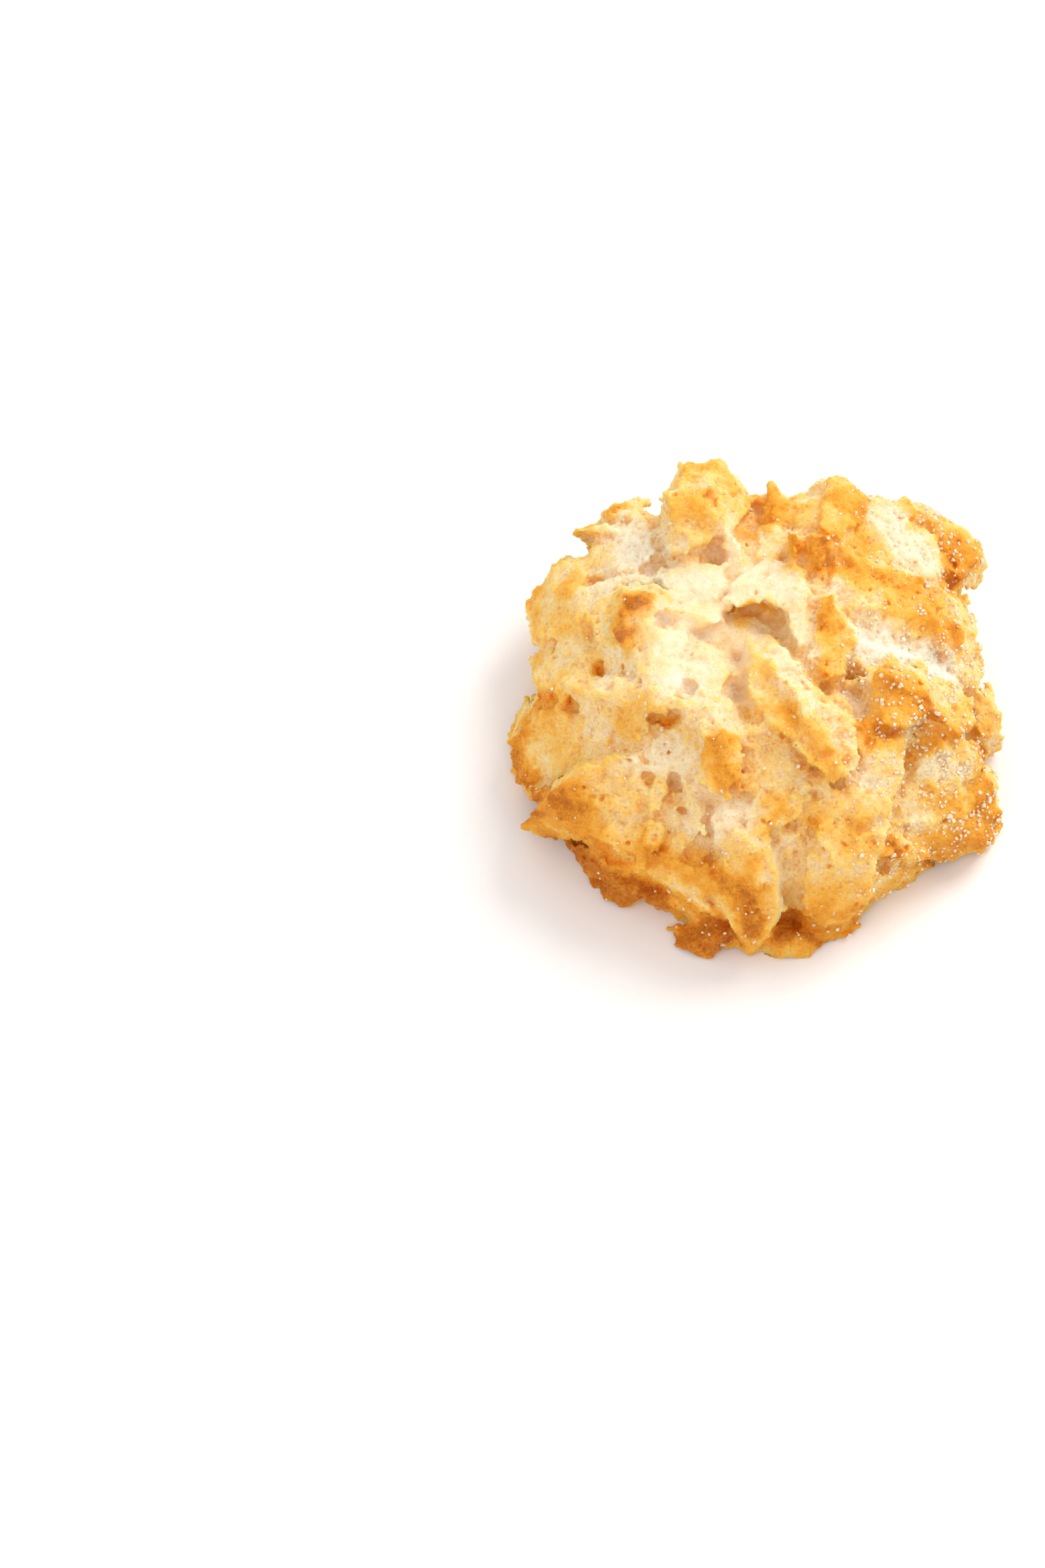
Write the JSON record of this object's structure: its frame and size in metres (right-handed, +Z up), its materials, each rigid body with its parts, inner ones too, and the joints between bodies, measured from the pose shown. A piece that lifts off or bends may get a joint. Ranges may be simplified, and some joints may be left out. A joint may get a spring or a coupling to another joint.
{
  "type": "coconut macaroon",
  "caption": "Baked coconut macaroon, a domed lump of dough with rough crests and knobs round a hollow crown, golden brown on the crests, dusted with sugar, with a flat base",
  "frame": {"origin": "on the surface it rests on, under the middle of its bounding box", "axes": "+Z up, +X to the right and -Y towards the viewer of its most ridged side"},
  "size_m": [0.0586, 0.064, 0.028],
  "materials": {
    "baked_dough": "matt baked coconut dough, pale cream in the hollows and golden brown on the crests"
  },
  "bodies": {
    "root": {"macaroon": "baked_dough"}
  },
  "joints": []
}
